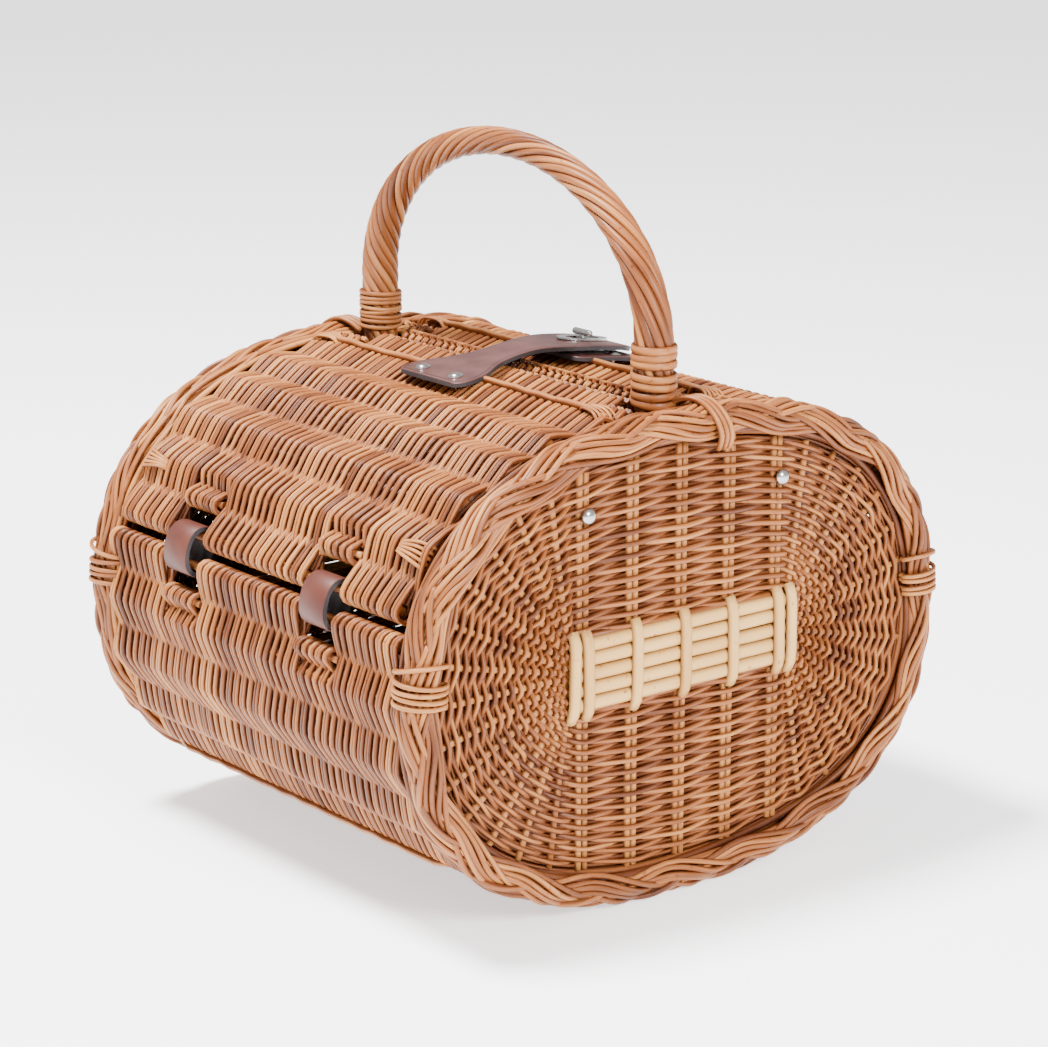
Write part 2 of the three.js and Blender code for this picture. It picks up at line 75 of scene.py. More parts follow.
camera_place = Vector((1.47539, -1.15193, 0.68069))
camera_back = Vector((0.758964, -0.597744, 0.258218))
bpy.ops.object.camera_add(location=camera_place, rotation=camera_back.to_track_quat("Z", "Y").to_euler())
camera = bpy.context.object
camera.data.lens = 113.4
camera.data.sensor_width = 36
camera.data.clip_end = 100
bpy.context.scene.camera = camera


# ---- floor and lights -----------------------------------------------------------------------------
# A wide white sweep of floor under a white room: a large soft lamp high at the front left gives the
# form, a wide one from the right fills the end panel, and the room itself lights the rest.


def new_paint(name):
    """A new material: itself, its node tree and its shader."""
    paint = bpy.data.materials.new(name)
    paint.use_nodes = True
    return paint, paint.node_tree, paint.node_tree.nodes["Principled BSDF"]


def node(tree, kind, inputs=None, **settings):
    """A new shader node with these settings and inputs; an input is a value or another node's output."""
    made = tree.nodes.new("ShaderNode" + kind)
    for key, value in settings.items():
        setattr(made, key, value)
    for key, value in (inputs or {}).items():
        if isinstance(value, bpy.types.NodeSocket):
            tree.links.new(value, made.inputs[key])
        else:
            made.inputs[key].default_value = value
    return made


def ramp_colour(tree, factor, *stops):
    """The colour output of a ramp through (position, colour) stops."""
    ramp = node(tree, "ValToRGB", {"Fac": factor})
    elements = ramp.color_ramp.elements
    for element, (position, colour) in zip(elements, (stops[0], stops[-1])):
        element.color = (*colour, 1)
        element.position = position
    for position, colour in stops[1:-1]:
        elements.new(position).color = (*colour, 1)
    return ramp.outputs["Color"]


bpy.ops.mesh.primitive_plane_add(size=60)
floor = bpy.context.object
floor.name = "floor"
floor_paint, tree, shader = new_paint("floor_paint")
floor_place = node(tree, "TexCoord").outputs["Object"]
cloud = node(tree, "TexNoise", {"Vector": floor_place, "Scale": 0.6})
floor_colour = ramp_colour(tree, cloud.outputs["Fac"], (0, (0.96, 0.96, 0.96)), (1, (0.98, 0.98, 0.98)))
tree.links.new(floor_colour, shader.inputs["Base Color"])
shader.inputs["Roughness"].default_value = 0.9
shader.inputs["Emission Color"].default_value = (1, 1, 1, 1)
shader.inputs["Emission Strength"].default_value = 1.08
floor.data.materials.append(floor_paint)
floor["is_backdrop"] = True

room = bpy.data.worlds.new("room")
room.use_nodes = True
glow = room.node_tree.nodes["Background"].inputs
glow["Color"].default_value = (1, 1, 1, 1)
glow["Strength"].default_value = 0.85
bpy.context.scene.world = room


def soft_lamp(name, place, aim, size, power):
    back = Vector(place) - Vector(aim)
    bpy.ops.object.light_add(type="AREA", location=place, rotation=back.to_track_quat("Z", "Y").to_euler())
    lamp = bpy.context.object
    lamp.name = name
    lamp.data.shape = "DISK"
    lamp.data.size = size
    lamp.data.energy = power


soft_lamp("key_lamp", (-0.45, -0.85, 2.6), (0, 0, 0.2), 0.7, 285)
soft_lamp("fill_lamp", (2.5, -0.3, 1.5), (0, 0, 0.15), 0.8, 142)


# ---- willow rods ----------------------------------------------------------------------------------
# Buff willow, boiled and peeled: smooth round rods from warm tan to orange-pink, streaked along
# their length, with painted shade darkening each rod's narrow flanks where it lies deep in the weave. Every
# rod is a tube along its own path.


def willow_paint(name, dark, middle, light, streak, flank_shade_strength):
    """Tone picks the rod's colour, streaks and patches vary it, and painted shade darkens the rod's two
    narrow flanks.
    """
    paint, tree, shader = new_paint(name)
    tone = node(tree, "Attribute", attribute_name="tone").outputs["Fac"]
    flank = node(tree, "Attribute", attribute_name="flank").outputs["Fac"]
    along = node(tree, "UVMap", uv_map="along").outputs["UV"]
    place = node(tree, "TexCoord").outputs["Object"]
    stretched = node(tree, "Mapping", {"Vector": along, "Scale": (30, 5.0, 1)}).outputs["Vector"]
    grain = node(tree, "TexNoise", {"Vector": stretched, "Scale": 1, "Detail": 4}).outputs["Fac"]
    patches = node(tree, "TexNoise", {"Vector": place, "Scale": 14, "Detail": 2}).outputs["Fac"]
    total = node(tree, "Math", {0: grain, 1: streak, 2: tone}, operation="MULTIPLY_ADD").outputs["Value"]
    total = node(tree, "Math", {0: patches, 1: 0.7, 2: total}, operation="MULTIPLY_ADD").outputs["Value"]
    centred = node(tree, "Math", {0: total, 1: streak / 2 + 0.35}, operation="SUBTRACT").outputs["Value"]
    colour = ramp_colour(tree, centred, (0.05, dark), (0.5, middle), (0.95, light))
    specks = node(tree, "TexNoise", {"Vector": place, "Scale": 260}).outputs["Fac"]
    marks = node(tree, "MapRange", {"Value": specks, "From Min": 0.66, "From Max": 0.76}).outputs["Result"]
    # Painted shade: each rod's narrow flanks, where it meets its neighbours, are multiplied towards a dark
    # brown.
    flank_shade = node(tree, "MapRange", {"Value": flank, "From Min": 0.30, "To Max": flank_shade_strength}).outputs["Result"]
    for share, tint in ((marks, (0.62, 0.42, 0.30, 1)), (flank_shade, (0.34, 0.20, 0.12, 1))):
        colour = node(tree, "Mix", {"Factor": share, "A": colour, "B": tint},
                      data_type="RGBA", blend_type="MULTIPLY").outputs["Result"]
    tree.links.new(colour, shader.inputs["Base Color"])
    gloss = node(tree, "MapRange", {"Value": grain, "To Min": 0.32, "To Max": 0.52})
    tree.links.new(gloss.outputs["Result"], shader.inputs["Roughness"])
    shader.inputs["Specular IOR Level"].default_value = 0.24
    bump = node(tree, "Bump", {"Height": grain, "Strength": 0.25, "Distance": 0.0004})
    tree.links.new(bump.outputs["Normal"], shader.inputs["Normal"])
    return paint


willow = willow_paint("willow", dark=(0.095, 0.024, 0.006), middle=(0.250, 0.079, 0.020),
                      light=(0.460, 0.190, 0.055), streak=0.95, flank_shade_strength=0.95)
pale_willow = willow_paint("pale_willow", dark=(0.40, 0.19, 0.052), middle=(0.56, 0.315, 0.098),
                           light=(0.66, 0.41, 0.145), streak=0.5, flank_shade_strength=0.6)


def placed(name, mesh):
    """A new object at the origin with this mesh, alone selected and active."""
    piece = bpy.data.objects.new(name, mesh)
    bpy.context.scene.collection.objects.link(piece)
    alone(piece)
    return piece


def alone(piece):
    bpy.ops.object.select_all(action="DESELECT")
    piece.select_set(True)
    bpy.context.view_layer.objects.active = piece


def run_length(line):
    """The distance run along a line at each of its points."""
    return np.concatenate([[0], np.cumsum(np.linalg.norm(np.diff(line, axis=0), axis=1))])


def willow_piece(name, rods, body, stands_for, paint=willow, sides=6):
    """Rods are (points, half width, half thickness, face, tone, closed): face is the direction of the
    rod's broad side, one for the rod or one a point. The flank value marks a rod's two narrow sides for
    painted shade."""
    corners, faces, uvs, tones, flanks, smooth = [], [], [], [], [], []
    for points, wide, thick, face, tone, closed in rods:
        line = np.asarray(points, float)
        count = len(line)
        if closed:
            tangent = np.roll(line, -1, 0) - np.roll(line, 1, 0)
        else:
            tangent = np.gradient(line, axis=0)
        tangent /= np.linalg.norm(tangent, axis=1)[:, None] + 1e-12
        out = np.broadcast_to(np.asarray(face, float), (count, 3)).copy()
        out -= (out * tangent).sum(1)[:, None] * tangent
        out /= np.linalg.norm(out, axis=1)[:, None] + 1e-12
        side = np.cross(out, tangent)
        w = np.broadcast_to(np.asarray(wide, float), count)[:, None, None]
        d = np.broadcast_to(np.asarray(thick, float), count)[:, None, None]
        turn = 2 * math.pi * np.arange(sides) / sides
        ring = line[:, None] + w * np.cos(turn)[None, :, None] * side[:, None]
        ring = ring + d * np.sin(turn)[None, :, None] * out[:, None]
        first = len(corners)
        corners.extend(ring.reshape(-1, 3).tolist())
        step = np.linalg.norm(np.diff(line, axis=0), axis=1)
        run = np.concatenate([[0], np.cumsum(step)]) + 7.3 * tone
        tones.extend([tone] * (count * sides))
        # Flank is 1 on a rod's narrow sides and 0 on its broad faces; the paint uses it for painted shade.
        flanks.extend((np.cos(turn) ** 2).tolist() * count)
        last = count if closed else count - 1
        for i in range(last):
            low = first + i * sides
            high = first + ((i + 1) % count) * sides
            end = run[i + 1] if i + 1 < count else run[i] + step[-1]
            for j in range(sides):
                k = (j + 1) % sides
                faces.append((low + j, low + k, high + k, high + j))
                v0, v1 = j / sides, (j + 1) / sides
                uvs.extend([(run[i], v0), (run[i], v1), (end, v1), (end, v0)])
                smooth.append(True)
        if not closed:
            tail = first + (count - 1) * sides
            faces.append(tuple(range(first + sides - 1, first - 1, -1)))
            faces.append(tuple(range(tail, tail + sides)))
            uvs.extend([(run[0], j / sides) for j in range(sides)] * 2)
            smooth.extend([False, False])
    mesh = bpy.data.meshes.new(name)
    mesh.from_pydata(corners, [], faces)
    layer = mesh.uv_layers.new(name="along")
    layer.data.foreach_set("uv", np.asarray(uvs, np.float32).ravel())
    attribute = mesh.attributes.new("tone", "FLOAT", "POINT")
    attribute.data.foreach_set("value", np.asarray(tones, np.float32))
    attribute = mesh.attributes.new("flank", "FLOAT", "POINT")
    attribute.data.foreach_set("value", np.asarray(flanks, np.float32))
    mesh.polygons.foreach_set("use_smooth", smooth)
    mesh.materials.append(paint)
    piece = placed(name, mesh)
    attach(piece, body)
    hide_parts(*stands_for)


def tone_of(dice, middle=0.5, spread=0.16):
    return min(0.98, max(0.02, dice.gauss(middle, spread)))


# ---- oval of the barrel ---------------------------------------------------------------------------
# The barrel and both its ends share one soft oval, a little fuller than an ellipse. The lids, the
# trough and the borders all follow it at their own depth below the outside.

oval_half_width = 0.192
oval_half_height = 0.14075
oval_middle = 0.13925
oval_power = 2 / 2.36


def oval(depth, turn):
    """A point on the oval, in Y and Z; turn is 0 at the front, half pi on top."""
    c, s = math.cos(turn), math.sin(turn)
    y = -(oval_half_width - depth) * math.copysign(abs(c) ** oval_power, c)
    z = oval_middle + (oval_half_height - depth) * math.copysign(abs(s) ** oval_power, s)
    return np.array((y, z))


def oval_line(depth, start, end, step=0.0015):
    """Even points along the oval between two turns, with their outward directions and distances."""
    rough = np.array([oval(depth, start + (end - start) * i / 1400) for i in range(1401)])
    run = run_length(rough)
    count = int(run[-1] / step) + 2
    even = np.linspace(0, run[-1], count)
    line = np.stack([np.interp(even, run, rough[:, 0]), np.interp(even, run, rough[:, 1])], 1)
    ahead = np.gradient(line, axis=0)
    ahead /= np.linalg.norm(ahead, axis=1)[:, None]
    out = np.stack([-ahead[:, 1], ahead[:, 0]], 1) * (1 if end > start else -1)
    return even, line, out, ahead


def turn_at_height(depth, z):
    rise = (z - oval_middle) / (oval_half_height - depth)
    return math.asin(math.copysign(abs(rise) ** (1 / oval_power), rise))


def turn_at_width(depth, y):
    return math.acos((y / (oval_half_width - depth)) ** (1 / oval_power))


# ---- woven skins ----------------------------------------------------------------------------------
# One maker for the trough and the lids: stout rods lie along the barrel, and thinner ones go over
# and under them round the barrel, turning back round the edge rod at each end of their run.

skin_depth = 0.0090
stake_radius = 0.0038
weaver_thick = 0.0016
weave_rise = 0.0054
weaver_pitch = 0.00328
notch_places = (-0.068, 0.068)
notch_half_width = 0.0155
notch_depth = 0.0205
corner_depth = 0.0155
under_rod_inset = 0.004


def woven_skin(start, end, skin_end, intervals, dice, notches, corner, middle):
    """Rods of a skin that runs along the oval from one turn to another, to skin_end on each side."""
    run, line, out, ahead = oval_line(skin_depth, start, end)
    length = run[-1]
    stakes = [0.0]
    for k in range(1, intervals):
        stakes.append(length * (k + dice.uniform(-0.07, 0.07)) / intervals)
    stakes.append(length)
    stakes = np.array(stakes)

    def spot(s):
        s = np.clip(s, 0, length)
        p = np.stack([np.interp(s, run, line[:, 0]), np.interp(s, run, line[:, 1])], -1)
        n = np.stack([np.interp(s, run, out[:, 0]), np.interp(s, run, out[:, 1])], -1)
        t = np.stack([np.interp(s, run, ahead[:, 0]), np.interp(s, run, ahead[:, 1])], -1)
        return p, n, t

    rods = []
    for k, s in enumerate(stakes):
        p, n, t = spot(s)
        reach = skin_end - 0.005
        if k == intervals and corner:
            reach = corner
        radius = 0.0030 if k in (0, intervals) else stake_radius
        wobble = [dice.uniform(-0.0006, 0.0006) for _ in range(9)]
        points = [(reach * (2 * i / 8 - 1), *(p + n * wobble[i] * (0 < k < intervals))) for i in range(9)]
        rods.append((points, radius, radius, (0, n[0], n[1]), tone_of(dice, 0.55), False))
    if corner:
        p, n, t = spot(length - corner_depth)
        for side in (-1, 1):
            points = [(side * (corner - 0.006 + 0.004 * i), *p) for i in range(7)]
            rods.append((points, 0.0026, 0.0026, (0, n[0], n[1]), tone_of(dice), False))

    for which in notches:
        s = notch_depth if which == 0 else length - notch_depth
        p, n, t = spot(s)
        for side in notch_places:
            points = [(side + 0.0170 * (i / 3 - 1), *p) for i in range(7)]
            rods.append((points, 0.0024, 0.0024, (0, n[0], n[1]), tone_of(dice), False))

    count = int(2 * skin_end / weaver_pitch / 2) * 2
    places = np.linspace(-skin_end + 0.001, skin_end - 0.001, count)
    drift = [[dice.uniform(-1, 1) for _ in range(intervals + 1)] for _ in range(12)]

    def wander(x, s):
        a = (x + skin_end) / (2 * skin_end) * 10
        i = int(a)
        blend = a - i
        row = [drift[i][k] * (1 - blend) + drift[i + 1][k] * blend for k in range(intervals + 1)]
        return np.interp(s, stakes, row) * 0.0016 * min(1, (skin_end - abs(x)) / 0.02)

    def turns_at(x, which):
        """Which stake a weaver turns round at the low or the far edge, and where along the run."""
        inside = which in notches and any(abs(x - side) < notch_half_width for side in notch_places)
        if inside:
            return (0, notch_depth) if which == 0 else (intervals, length - notch_depth)
        if which == 1 and corner and abs(x) > corner - 0.001:
            return (intervals, length - corner_depth)
        return (0, 0.0) if which == 0 else (intervals, length)

    def half_turn(i, which):
        """The bend between weaver i and the next one, round an edge rod."""
        x0, x1 = places[i], places[i + 1]
        k, s = turns_at((x0 + x1) / 2, which)
        p, n, t = spot(s)
        outside = 1 if (i + k) % 2 == 0 else -1
        away = -t if which == 0 else t
        bend = []
        for j in range(1, 6):
            a = math.pi * j / 6
            q = p + weave_rise * (math.cos(a) * n * outside + math.sin(a) * away)
            x = x0 + (x1 - x0) * (0.5 - 0.5 * math.cos(a))
            bend.append((x, q[0], q[1]))
        return bend

    marks = np.concatenate([k + np.array((0, 0.12, 0.36, 0.64, 0.88)) for k in range(intervals)])

    def pass_points(i, low_s, high_s):
        s = np.interp(marks, np.arange(intervals + 1), stakes)
        s = s[(s > low_s + 0.001) & (s < high_s - 0.001)]
        s = np.concatenate([[low_s], s, [high_s]])
        phase = np.interp(s, stakes, np.arange(intervals + 1))
        if high_s < length:
            squeeze = np.interp(s, [stakes[-2], high_s], [intervals - 1, intervals])
            phase = np.where(s > stakes[-2], squeeze, phase)
        if low_s > 0:
            squeeze = np.interp(s, [low_s, stakes[1]], [0, 1])
            phase = np.where(s < stakes[1], squeeze, phase)
        wave = np.cos(math.pi * phase)
        wave = np.arcsin(0.985 * wave) / math.asin(0.985)
        sign = 1 if i % 2 == 0 else -1
        p, n, t = spot(s)
        q = p + n * (weave_rise * sign * wave)[:, None]
        x = places[i] + wander(places[i], s)
        return np.column_stack([x, q]), 1 - np.abs(wave)

    # Thin rods between the passes, on the middle of the wall, close it against the light; their very dark
    # tone is painted shade for what is seen through the gaps.
    for i in range(count - 1):
        x = (places[i] + places[i + 1]) / 2
        low, high = turns_at(x, 0)[1] + under_rod_inset, turns_at(x, 1)[1] - under_rod_inset
        s = np.linspace(low, high, max(7, int((high - low) / 0.022)))
        p, n, t = spot(s)
        points = np.column_stack([np.full(len(s), x), p])
        faces_out = np.column_stack([np.zeros(len(s)), n])
        rods.append((points, 0.0015, 0.0010, faces_out, tone_of(dice, 0.06, 0.04), False))

    joined = []
    for i in range(0, count - 1, 2):
        low = turns_at((places[i] + places[i + 1]) / 2, 0)[1]
        ends = []
        for j in (i, i + 1):
            near = j - 1 if j % 2 == 0 else j
            if near < 0 or near + 1 >= count:
                far = turns_at(places[j], 1)[1]
            else:
                far = turns_at((places[near] + places[near + 1]) / 2, 1)[1]
            ends.append(far)
        up, tight_up = pass_points(i, low, ends[0])
        down, tight_down = pass_points(i + 1, low, ends[1])
        bend = np.array(half_turn(i, 0))
        up, tight_up = up[::-1], tight_up[::-1]
        path = np.concatenate([up, bend, down])
        tight = np.concatenate([tight_up, np.zeros(len(bend)), tight_down])
        if i + 2 < count:
            cap = np.array(half_turn(i + 1, 1))
            path = np.concatenate([path, cap])
            tight = np.concatenate([tight, np.zeros(len(cap))])
        joined.append((path, tight))

    for path, tight in joined:
        tone = tone_of(dice, middle, 0.2)
        wide = dice.uniform(0.0017, 0.0022)
        twin = dice.random() < 0.58
        travel = np.gradient(path, axis=0)
        travel /= np.linalg.norm(travel, axis=1)[:, None] + 1e-12
        face = np.cross(travel, np.array((1.0, 0, 0)))
        if twin:
            for shift in (-1, 1):
                moved = path + np.array((shift * 0.00118, 0, 0))
                thin = 0.00120 - 0.0001 * tight
                part_tone = min(1, max(0, tone + dice.uniform(-0.12, 0.12)))
                rods.append((moved, thin, weaver_thick * 0.9, face, part_tone, False))
        else:
            rods.append((path, wide - 0.0003 * tight, weaver_thick, face, tone, False))
    return rods, stakes, spot


def long_rod(spot, s, lift, reach, dice, radius=0.0019):
    """A thin pale rod laid along the outside of a skin."""
    p, n, t = spot(s)
    points = []
    for i in range(25):
        x = reach * (2 * i / 24 - 1)
        rise = lift + 0.0004 * math.sin(9 * i) - 0.003 * (i in (0, 24))
        q = p + n * rise + t * 0.0006 * math.sin(i * 0.9)
        points.append((x, q[0], q[1]))
    return (points, radius, radius, (0, n[0], n[1]), tone_of(dice, 0.72, 0.05), False)


# ---- trough ---------------------------------------------------------------------------------------
# The body of the basket: woven from the front rim round under the bottom to the back rim, each
# weaver rolled over the rim rod, with a notch in the rim for each leather hinge loop.

trough_half_length = 0.1430
trough_intervals = 17
dice = random.Random(11)
rim_turn = turn_at_height(skin_depth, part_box("front_rim_rod")[0].z + 0.004)
rods, trough_stakes, trough_spot = woven_skin(
    rim_turn, -math.pi - rim_turn, trough_half_length, trough_intervals, dice, (0, 1), None, 0.42)
rods.append(long_rod(trough_spot, trough_stakes[4] + 0.002, 0.0078, 0.134, dice))
willow_piece("trough_weave", rods, "basket", ["body_shell", "front_rim_rod", "back_rim_rod"])


# ---- lids -----------------------------------------------------------------------------------------
# Two curved flaps woven the same way, hinged low on each side and meeting under the handle. Their
# top corners are cut back round the handle's legs, and each has one long rod laid across near the top.

hinge_height = 0.189
lid_half_length = 0.1365
lid_corner = 0.1125
lid_intervals = 6
lid_tie_x = 0.1245
lid_tie_reach = 0.0120
hinge_turn = turn_at_height(skin_depth, hinge_height)
top_turn = turn_at_width(skin_depth, 0.0091)
for word, low, high in (("front", hinge_turn, top_turn), ("back", math.pi - hinge_turn, math.pi - top_turn)):
    dice = random.Random(23 if word == "front" else 29)
    rods, stakes, spot = woven_skin(low, high, lid_half_length, lid_intervals, dice, (0,), lid_corner, 0.5)
    rods.append(long_rod(spot, stakes[-2] + 0.002, 0.0078, 0.135, dice))
    for side in (-1, 1):
        for s in (stakes[1] - 0.004, stakes[-1] - 0.030):
            p, n, t = spot(s)
            for turn in range(5):
                arc = []
                for j in range(11):
                    a = -1 + j / 5
                    slide = 0.0021 * (turn - 2) + 0.0012 * a * (turn - 2)
                    q = p + t * slide + n * (0.0088 - 0.0085 * a ** 4)
                    arc.append((side * (lid_tie_x + lid_tie_reach * a), q[0], q[1]))
                rods.append((arc, 0.0011, 0.0008, (0, n[0], n[1]), tone_of(dice, 0.72, 0.08), False))
    willow_piece(word + "_lid_weave", rods, word + "_lid", [
        word + "_lid_panel", word + "_lid_hinge_rod", word + "_lid_top_rod",
        word + "_lid_right_low_tie", word + "_lid_right_top_tie",
        word + "_lid_left_low_tie", word + "_lid_left_top_tie",
    ])


# ---- end panels -----------------------------------------------------------------------------------
# Oval ends woven round a flat slath: stakes stand up and down from it and fan out at its two ends,
# and rings of weaver go over and under them until they reach the border. Thin rings lie between, painted very
# dark as shade in the gaps between the rows.

slath_half_length = 0.079
slath_half_height = 0.021
panel_rows = 29
panel_edge_depth = 0.0235
fan_stakes = 13


def end_stakes():
    """Inner and outer ends of the stakes, in order round the panel from the top left, in Y and Z."""
    stakes = []
    for y in (-0.070, -0.035, 0.0, 0.035, 0.070):
        lean = math.copysign(1, y) * (math.pi / 2 - turn_at_width(panel_edge_depth, abs(y))) if y else 0
        outer = oval(panel_edge_depth, math.pi / 2 + lean)
        stakes.append(((y, oval_middle + slath_half_height), tuple(outer)))
    first = math.pi - turn_at_width(panel_edge_depth, 0.070)
    span = 2 * (math.pi - first)
    rough = [first + span * i / 400 for i in range(401)]
    points = np.array([oval(panel_edge_depth, t) for t in rough])
    run = run_length(points)
    for i in range(1, fan_stakes + 1):
        share = i / (fan_stakes + 1)
        turn = float(np.interp(run[-1] * share, run, rough))
        inner_z = oval_middle + slath_half_height * (1 - 2 * share) * 0.98
        inner_y = slath_half_length + 0.004 - 0.004 * abs(1 - 2 * share) ** 2
        stakes.append(((inner_y, inner_z), tuple(oval(panel_edge_depth, turn))))
    flipped = [((-a[0], 2 * oval_middle - a[1]), (-b[0], 2 * oval_middle - b[1])) for a, b in stakes]
    return [(np.array(inner), np.array(outer)) for inner, outer in stakes + flipped]


def closed_curve(knots, values, per):
    """Smooth closed line through knots, with values carried along."""
    knots = np.asarray(knots, float)
    count = len(knots)
    line, carried = [], []
    for i in range(count):
        a, b, c, d = (knots[(i + k - 1) % count] for k in range(4))
        for j in range(per):
            u = j / per
            point = 0.5 * (2 * b + (c - a) * u + (2 * a - 5 * b + 4 * c - d) * u * u
                           + (3 * b - a - 3 * c + d) * u ** 3)
            line.append(point)
            carried.append(values[i] + (values[(i + 1) % count] - values[i]) * u)
    return np.array(line), np.array(carried)


for word, side in (("right", 1), ("left", -1)):
    dice = random.Random(41 if side > 0 else 43)
    panel_x = side * 0.1515
    stakes = end_stakes()
    rods = []
    for inner, outer in stakes:
        ahead = (outer - inner) / np.linalg.norm(outer - inner)
        across = np.array((-ahead[1], ahead[0]))
        pair = (-0.0022, 0.0022) if abs(inner[0]) < 0.0705 else (0,)
        for shift in pair:
            foot = inner - ahead * 0.004 + across * shift
            points = [(panel_x, *(foot + (outer + ahead * 0.006 - inner) * i / 6)) for i in range(7)]
            rods.append((points, 0.0023, 0.0023, (side, 0, 0), tone_of(dice, 0.78, 0.08), False))
    for row in range(panel_rows):
        share = (row + 0.5) / panel_rows
        knots, widths = [], []
        for inner, outer in stakes:
            knots.append(inner + (outer - inner) * share)
            widths.append(np.linalg.norm(outer - inner) / panel_rows)
        line, gap = closed_curve(knots, widths, 8)
        phase = np.arange(len(line)) / 8
        wave = np.cos(math.pi * phase)
        wave = np.arcsin(0.9 * wave) / math.asin(0.9) * (1 if row % 2 else -1)
        path = np.column_stack([panel_x + side * 0.0038 * wave, line])
        wide = np.clip(gap * dice.uniform(0.43, 0.54), 0.0013, 0.0028)
        rods.append((path, wide, 0.00165, (side, 0, 0), tone_of(dice, 0.46, 0.2), True))
    # Thin rings under the weave between the rows, in a very dark tone: painted shade seen through the gaps.
    for row in range(panel_rows + 2):
        knots = [np.array(a) + (np.array(b) - np.array(a)) * row / panel_rows for a, b in stakes]
        line, gap = closed_curve(knots, widths, 3)
        path = np.column_stack([np.full(len(line), panel_x - side * 0.0006), line])
        rods.append((path, gap * 0.41, 0.0012, (side, 0, 0), tone_of(dice, 0.08, 0.05), True))
    for z in (oval_middle - 0.0204, oval_middle + 0.0204):
        points = [(side * 0.1524, y, z) for y in np.linspace(-0.078, 0.078, 5)]
        rods.append((points, 0.0028, 0.0026, (side, 0, 0), tone_of(dice, 0.3, 0.05), False))
    willow_piece(word + "_end_weave", rods, "basket", [word + "_end_panel"])


# ---- slaths ---------------------------------------------------------------------------------------
# The flat core of each end: five pale split sticks side by side, held by pale uprights across them.

for word, side in (("right", 1), ("left", -1)):
    dice = random.Random(53 if side > 0 else 59)
    slath_x = side * 0.1545
    rods = []
    for i in range(5):
        z = oval_middle + (i - 2) * 0.0084
        points = [(slath_x, y, z + dice.uniform(-0.0002, 0.0002)) for y in np.linspace(-0.080, 0.080, 9)]
        rods.append((points, 0.0041, 0.0026, (side, 0, 0), tone_of(dice, 0.6, 0.12), False))
    for y in (-0.079, -0.0695, -0.035, 0.0, 0.035, 0.0695, 0.079):
        lean = dice.uniform(-0.0008, 0.0008)
        points = []
        for i in range(11):
            a = 2 * i / 10 - 1
            bulge = side * 0.0036 * (1 - abs(a) ** 6)
            points.append((slath_x + bulge, y + lean * a, oval_middle + 0.0255 * a))
        rods.append((points, 0.0038, 0.0022, (side, 0, 0), tone_of(dice, 0.6, 0.12), False))
    willow_piece(word + "_slath_sticks", rods, "basket", [word + "_slath"], pale_willow, 10)


# ---- borders --------------------------------------------------------------------------------------
# A thick plait round each end: three groups of five rods braided over a core of straight rods, so
# that each group slants over the ring's face, dives under the next and comes back. A few rods line
# the ring's inner side, beside the lids and the trough.

border_depth = 0.013
border_x = 0.152
braid_periods = 6
braid_sway = 0.0104
braid_pitch = 0.0034
braid_height = 0.0092
border_step = 0.0022
lowest = 0.0021
_, border_line, border_out, _ = oval_line(border_depth, 0, 2 * math.pi, border_step)
border_line, border_out = border_line[:-1], border_out[:-1]
border_count = len(border_line)

for word, side in (("right", 1), ("left", -1)):
    dice = random.Random(61 if side > 0 else 67)

    def on_ring(i, angle, radius):
        """A point on the ring's section: angle 0 faces outward, a quarter turn faces the end."""
        i = int(round(i)) % border_count
        p, n = border_line[i], border_out[i]
        q = p + n * radius * math.cos(angle)
        return (side * (border_x + radius * math.sin(angle)), q[0], max(q[1], lowest))

    rods = []
    share = 2 * math.pi * np.arange(border_count) / border_count
    for group in range(3):
        theta = braid_periods * share * side + 2 * math.pi * group / 3
        for member in range(5):
            offset = (member - 2) * braid_pitch
            jitter = [dice.uniform(-0.0009, 0.0009) for _ in range(30)]
            points, faces_out = [], []
            for i in range(border_count):
                sway = math.sin(theta[i])
                lean = math.atan(0.31 * math.cos(theta[i]) / math.sqrt(1 - (0.94 * sway) ** 2))
                w = braid_sway * math.asin(0.94 * sway) / math.asin(0.94) + offset * math.cos(lean)
                shift = -offset * math.sin(lean) / border_step * side
                wobble = np.interp(i / border_count * 30, range(31), jitter + jitter[:1])
                angle = math.radians(40) + (w + wobble) / 0.0104
                height = braid_height + 0.0017 * math.sin(2 * theta[i])
                height += 0.0007 * math.sin(member * 2.1 + 3 * theta[i])
                point = np.array(on_ring(i + shift, angle, height))
                centre = np.array(on_ring(i + shift, 0, 0))
                points.append(point)
                faces_out.append(point - centre)
            radius = dice.uniform(0.0015, 0.0020)
            rods.append((points, radius, radius * 0.92, faces_out, tone_of(dice, 0.5, 0.22), True))
    # The core rods take a darker tone than the braid: painted shade for the hollow seen under the braid.
    core = [(2 * math.pi * k / 8 + 0.3, 0.4, 4, k, 0.0062, 0.0023, 0.0023, 0.3, 0.12) for k in range(8)]
    lining = [(math.radians(-150 + 23 * k), 0.12, 5, 2 * k, 0.0102, 0.0020, 0.0018, 0.42, 0.15)
              for k in range(6)]
    for angle, drift, bends, phase, radius, wide, thick, tone, spread in core + lining:
        every = range(0, border_count, 3)
        points = [on_ring(i, angle + drift * math.sin(bends * share[i] + phase), radius) for i in every]
        normals = [np.array(p) - np.array(on_ring(i, 0, 0)) for i, p in zip(every, points)]
        rods.append((points, wide, thick, normals, tone_of(dice, tone, spread), True))
    willow_piece(word + "_border_plait", rods, "basket", [word + "_border"])


# ---- border ties ----------------------------------------------------------------------------------
# Beside each hinge a few thin rods are wrapped round the border and tucked back into the weave, to
# hold the ring to the barrel.

